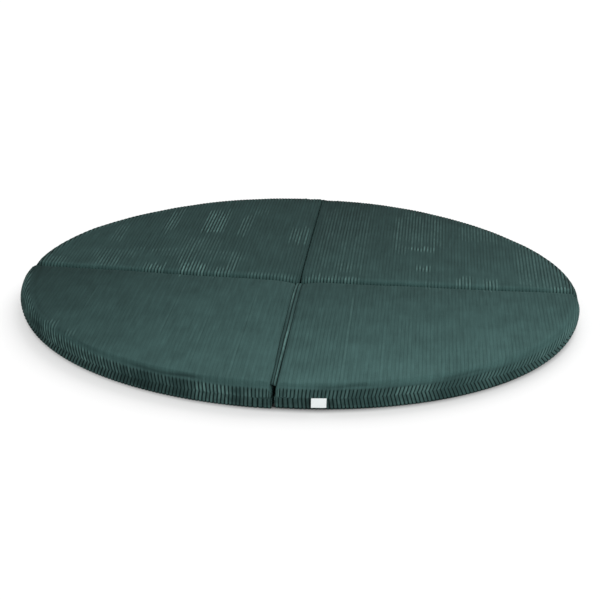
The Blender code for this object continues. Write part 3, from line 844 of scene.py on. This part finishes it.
def corduroy_material(sizes, colours):
    """Cut-pile cotton corduroy: soft matt pile on round wales, a dark woven ground in the grooves darkened
    further with painted shade, and painted highlights on the crests.
    """
    name = "cut_pile_corduroy"
    if name in bpy.data.materials:
        return bpy.data.materials[name]
    material, tree = new_material(name)
    cloth = add_node(tree, "ShaderNodeUVMap", {"uv_map": "cloth"})
    crest = add_node(tree, "ShaderNodeAttribute", {"attribute_name": "crest"})
    brushed_highlight = add_node(tree, "ShaderNodeAttribute", {"attribute_name": "brushed_highlight"})
    open_grooves = add_node(tree, "ShaderNodeAttribute", {"attribute_name": "open_grooves"})
    painted_shade_node = add_node(tree, "ShaderNodeAttribute", {"attribute_name": "shade"})

    # Each wale's pile lies a little its own way: long soft streaks, one wale wide
    lie_scale = add_node(tree, "ShaderNodeMapping", {3: (1.0 / sizes.wale_pitch, 9.0, 1.0)},
                         {0: cloth.outputs["UV"]})
    lie = add_node(tree, "ShaderNodeTexNoise", {"Scale": 1.0, "Detail": 2.0, "Roughness": 0.6},
                   {"Vector": lie_scale.outputs[0]})
    # Broad shading where the pile was stroked by hand, about 90 mm across
    stroke = add_node(tree, "ShaderNodeTexNoise", {"Scale": 11.0, "Detail": 3.0, "Roughness": 0.55},
                      {"Vector": cloth.outputs["UV"]})
    # Tufts of the pile, drawn 2.5 mm across because the real 0.5 mm ones don't show
    tuft_scale = add_node(tree, "ShaderNodeMapping", {3: (400.0, 260.0, 1.0)}, {0: cloth.outputs["UV"]})
    tuft = add_node(tree, "ShaderNodeTexNoise", {"Scale": 1.0, "Detail": 2.0, "Roughness": 0.5},
                    {"Vector": tuft_scale.outputs[0]})

    # The ground, darkened with painted shade deep in the grooves, shows only where the grooves are open;
    # on top the pile closes over them
    depth = add_node(tree, "ShaderNodeMapRange", {1: 0.15, 2: 0.85, 3: 1.0, 4: 0.0},
                     {0: crest.outputs["Fac"]})
    ground = add_node(tree, "ShaderNodeMath", {"operation": "MULTIPLY"},
                      {0: depth.outputs[0], 1: open_grooves.outputs["Fac"]})
    base = add_node(tree, "ShaderNodeMix", {"data_type": "RGBA"}, {"Factor": ground.outputs[0]})
    base.inputs[6].default_value = linear(colours.pile)
    base.inputs[7].default_value = linear(colours.groove)

    # Each noise, between two of its values, darkens or lightens the pile
    # Starting from the painted light and shade that the mesh carries
    shade = painted_shade_node.outputs["Fac"]
    for noise, low, high, dark, light in ((lie, 0.25, 0.75, 0.84, 1.16), (stroke, 0.3, 0.7, 0.90, 1.10),
                                          (tuft, 0.2, 0.8, 0.88, 1.12)):
        level = add_node(tree, "ShaderNodeMapRange", {1: low, 2: high, 3: dark, 4: light},
                         {0: noise.outputs["Fac"]})
        product = add_node(tree, "ShaderNodeMath", {"operation": "MULTIPLY"},
                           {0: shade, 1: level.outputs[0]})
        shade = product.outputs[0]
    shaded = add_node(tree, "ShaderNodeVectorMath", {"operation": "SCALE"}, {0: base.outputs[2], 3: shade})

    # Painted highlight of brushed pile, on the crests only, more on some wales than others, in dashes
    lit = add_node(tree, "ShaderNodeMapRange", {1: 0.35, 2: 0.6, 3: 0.6, 4: 1.0}, {0: lie.outputs["Fac"]})
    dash_scale = add_node(tree, "ShaderNodeMapping", {3: (1.0 / sizes.wale_pitch, 50.0, 1.0)},
                          {0: cloth.outputs["UV"]})
    dash = add_node(tree, "ShaderNodeTexNoise", {"Scale": 1.0, "Detail": 1.0, "Roughness": 0.5},
                    {"Vector": dash_scale.outputs[0]})
    dashed = add_node(tree, "ShaderNodeMapRange", {1: 0.40, 2: 0.56, 3: 0.50, 4: 1.0},
                      {0: dash.outputs["Fac"]})
    crest_top = add_node(tree, "ShaderNodeMath", {"operation": "POWER", 1: 5.0},
                         {0: crest.outputs["Fac"]})
    highlight_here = brushed_highlight.outputs["Fac"]
    for factor in (crest_top, lit, dashed):
        product = add_node(tree, "ShaderNodeMath", {"operation": "MULTIPLY"},
                           {0: highlight_here, 1: factor.outputs[0]})
        highlight_here = product.outputs[0]
    final = add_node(tree, "ShaderNodeMix", {"data_type": "RGBA"},
                     {"Factor": highlight_here, 6: shaded.outputs[0]})
    final.inputs[7].default_value = linear(colours.brushed_highlight)

    bump = add_node(tree, "ShaderNodeBump", {"Strength": 0.35, "Distance": 0.0006},
                    {"Height": tuft.outputs["Fac"]})
    shader = add_node(tree, "ShaderNodeBsdfPrincipled",
                      {"Roughness": 0.95, "IOR": 1.5, "Specular IOR Level": 0.02},
                      {"Base Color": final.outputs[2], "Normal": bump.outputs[0]})
    add_node(tree, "ShaderNodeOutputMaterial", None, {"Surface": shader.outputs[0]})
    return material


def label_material(colours):
    """Woven satin tape: white polyester yarns, a slight gloss and a fine rib across."""
    material, tree = new_material("woven_satin_tape")
    cloth = add_node(tree, "ShaderNodeUVMap", {"uv_map": "cloth"})
    # Weft ribs of the tape, drawn 1 mm apart because the real 0.3 mm ones don't show
    ribs = add_node(tree, "ShaderNodeTexWave",
                    {"wave_type": "BANDS", "bands_direction": "Y", "Scale": 160.0, "Distortion": 0.6,
                     "Detail": 1.0},
                    {"Vector": cloth.outputs["UV"]})
    bump = add_node(tree, "ShaderNodeBump", {"Strength": 0.2, "Distance": 0.0002},
                    {"Height": ribs.outputs["Fac"]})
    tone = add_node(tree, "ShaderNodeMix", {"data_type": "RGBA"}, {"Factor": ribs.outputs["Fac"]})
    tone.inputs[6].default_value = linear([c * 0.94 for c in colours.label])
    tone.inputs[7].default_value = linear(colours.label)
    shader = add_node(tree, "ShaderNodeBsdfPrincipled",
                      {"Roughness": 0.55, "IOR": 1.55, "Sheen Weight": 0.1},
                      {"Base Color": tone.outputs[2], "Normal": bump.outputs[0]})
    add_node(tree, "ShaderNodeOutputMaterial", None, {"Surface": shader.outputs[0]})
    return material


def floor_material(colours, radius):
    """Matt studio table, lit from below round the mat as well, so that shadows on it stay pale."""
    glow_strength, glow_run = 0.50, 0.03
    material, tree = new_material("lit_studio_table")
    place = add_node(tree, "ShaderNodeNewGeometry")
    from_middle = add_node(tree, "ShaderNodeVectorMath",
                           {"operation": "DISTANCE", 1: (CIRCLE_X, CIRCLE_Y, 0.0)},
                           {0: place.outputs["Position"]})
    glow = add_node(tree, "ShaderNodeMapRange",
                    {1: radius - glow_run, 2: radius, 3: 0.0, 4: glow_strength},
                    {0: from_middle.outputs["Value"]})
    shader = add_node(tree, "ShaderNodeBsdfPrincipled",
                      {"Base Color": linear(colours.floor), "Roughness": 0.95, "Specular IOR Level": 0.1,
                       "Emission Color": (1.0, 1.0, 1.0, 1.0)},
                      {"Emission Strength": glow.outputs[0]})
    add_node(tree, "ShaderNodeOutputMaterial", None, {"Surface": shader.outputs[0]})
    return material


def make_floor(colours, radius):
    """The studio floor, which belongs to the stage and not to the mat."""
    bm = bmesh.new()
    bmesh.ops.create_grid(bm, x_segments=1, y_segments=1, size=30.0)
    mesh = bpy.data.meshes.new("studio_floor")
    bm.to_mesh(mesh)
    bm.free()
    mesh.materials.append(floor_material(colours, radius))
    floor = bpy.data.objects.new("studio_floor", mesh)
    bpy.context.scene.collection.objects.link(floor)


def make_camera():
    """The photograph's camera, aimed so that the middle of the rim's circle lies at its pixel."""
    elevation, azimuth = CAMERA_ELEVATION, CAMERA_AZIMUTH
    back = Vector((math.sin(azimuth) * math.cos(elevation),
                   -math.cos(azimuth) * math.cos(elevation), math.sin(elevation)))
    right = Vector((math.cos(azimuth), math.sin(azimuth), 0.0))
    up = back.cross(right)
    right, up = (math.cos(CAMERA_ROLL) * right + math.sin(CAMERA_ROLL) * up,
                 math.cos(CAMERA_ROLL) * up - math.sin(CAMERA_ROLL) * right)
    forward = -back
    pan = math.atan((MIDDLE_PIXEL[0] - PICTURE_PIXELS / 2) / FOCAL_PIXELS)
    tilt = math.atan((MIDDLE_PIXEL[1] - PICTURE_PIXELS / 2) / FOCAL_PIXELS)
    right, forward = (math.cos(pan) * right + math.sin(pan) * forward,
                      math.cos(pan) * forward - math.sin(pan) * right)
    up, forward = (math.cos(tilt) * up - math.sin(tilt) * forward,
                   math.cos(tilt) * forward + math.sin(tilt) * up)
    data = bpy.data.cameras.new("photo_camera")
    data.sensor_width = 36.0
    data.lens = FOCAL_PIXELS * data.sensor_width / PICTURE_PIXELS
    camera = bpy.data.objects.new("photo_camera", data)
    turn = Matrix((right, up, -forward)).transposed().to_4x4()
    middle = Vector((CIRCLE_X, CIRCLE_Y, 0.0))
    camera.matrix_world = Matrix.Translation(middle + back * CAMERA_DISTANCE) @ turn
    bpy.context.scene.collection.objects.link(camera)
    bpy.context.scene.camera = camera


def make_lights():
    """An even white studio with a broad soft light from behind and a little to the right."""
    world = bpy.data.worlds.new("studio_white")
    bpy.context.scene.world = world
    world.use_nodes = True
    background = world.node_tree.nodes["Background"]
    background.inputs["Color"].default_value = (1.0, 1.0, 1.0, 1.0)
    background.inputs["Strength"].default_value = 0.90
    data = bpy.data.lights.new("softbox_behind", "SUN")
    data.energy = 2.40
    data.angle = math.radians(50.0)
    light = bpy.data.objects.new("softbox_behind", data)
    light.rotation_euler = Vector((0.30, 1.00, 0.72)).to_track_quat("Z", "Y").to_euler()
    bpy.context.scene.collection.objects.link(light)
    bpy.context.scene.view_settings.view_transform = "Standard"


class MAT_OT_make_cushions(bpy.types.Operator):
    """Sew the four quarter cushions"""

    bl_idname = "folding_mat.make_cushions"
    bl_label = "Quarter cushions"

    def execute(self, context):
        sizes = context.scene.mat_sizes
        material = corduroy_material(sizes, context.scene.mat_colours)
        for quarter in QUARTERS:
            make_quarter(quarter, sizes, material)
        return {"FINISHED"}


class MAT_OT_make_strip(bpy.types.Operator):
    """Sew the hinge strip over the front fold"""

    bl_idname = "folding_mat.make_strip"
    bl_label = "Hinge strip"

    def execute(self, context):
        sizes = context.scene.mat_sizes
        make_hinge_strip(sizes, corduroy_material(sizes, context.scene.mat_colours))
        return {"FINISHED"}


class MAT_OT_make_label(bpy.types.Operator):
    """Sew the blank label in the front seam"""

    bl_idname = "folding_mat.make_label"
    bl_label = "Blank label"

    def execute(self, context):
        make_label(label_material(context.scene.mat_colours))
        return {"FINISHED"}


class MAT_OT_make_stage(bpy.types.Operator):
    """Lay the floor and set the lights and the camera"""

    bl_idname = "folding_mat.make_stage"
    bl_label = "Floor, lights and camera"

    def execute(self, context):
        make_floor(context.scene.mat_colours, context.scene.mat_sizes.radius)
        make_lights()
        make_camera()
        return {"FINISHED"}


class MAT_PT_panel(bpy.types.Panel):
    """Buttons that make the mat piece by piece"""

    bl_label = "Folding mat"
    bl_idname = "MAT_PT_panel"
    bl_space_type = "VIEW_3D"
    bl_region_type = "UI"
    bl_category = "Folding mat"

    def draw(self, context):
        for group in (context.scene.mat_sizes, context.scene.mat_colours):
            for name in group.__annotations__:
                self.layout.prop(group, name)
        for operator in OPERATORS:
            self.layout.operator(operator.bl_idname)


OPERATORS = (MAT_OT_make_cushions, MAT_OT_make_strip, MAT_OT_make_label, MAT_OT_make_stage)
CLASSES = (MatSizes, MatColours, *OPERATORS, MAT_PT_panel)


def register():
    for cls in CLASSES:
        bpy.utils.register_class(cls)
    bpy.types.Scene.mat_sizes = PointerProperty(type=MatSizes)
    bpy.types.Scene.mat_colours = PointerProperty(type=MatColours)


def unregister():
    del bpy.types.Scene.mat_colours
    del bpy.types.Scene.mat_sizes
    for cls in reversed(CLASSES):
        bpy.utils.unregister_class(cls)


def main():
    register()
    bpy.ops.folding_mat.make_cushions()
    bpy.ops.folding_mat.make_strip()
    bpy.ops.folding_mat.make_label()
    bpy.ops.folding_mat.make_stage()


if __name__ == "__main__":
    main()
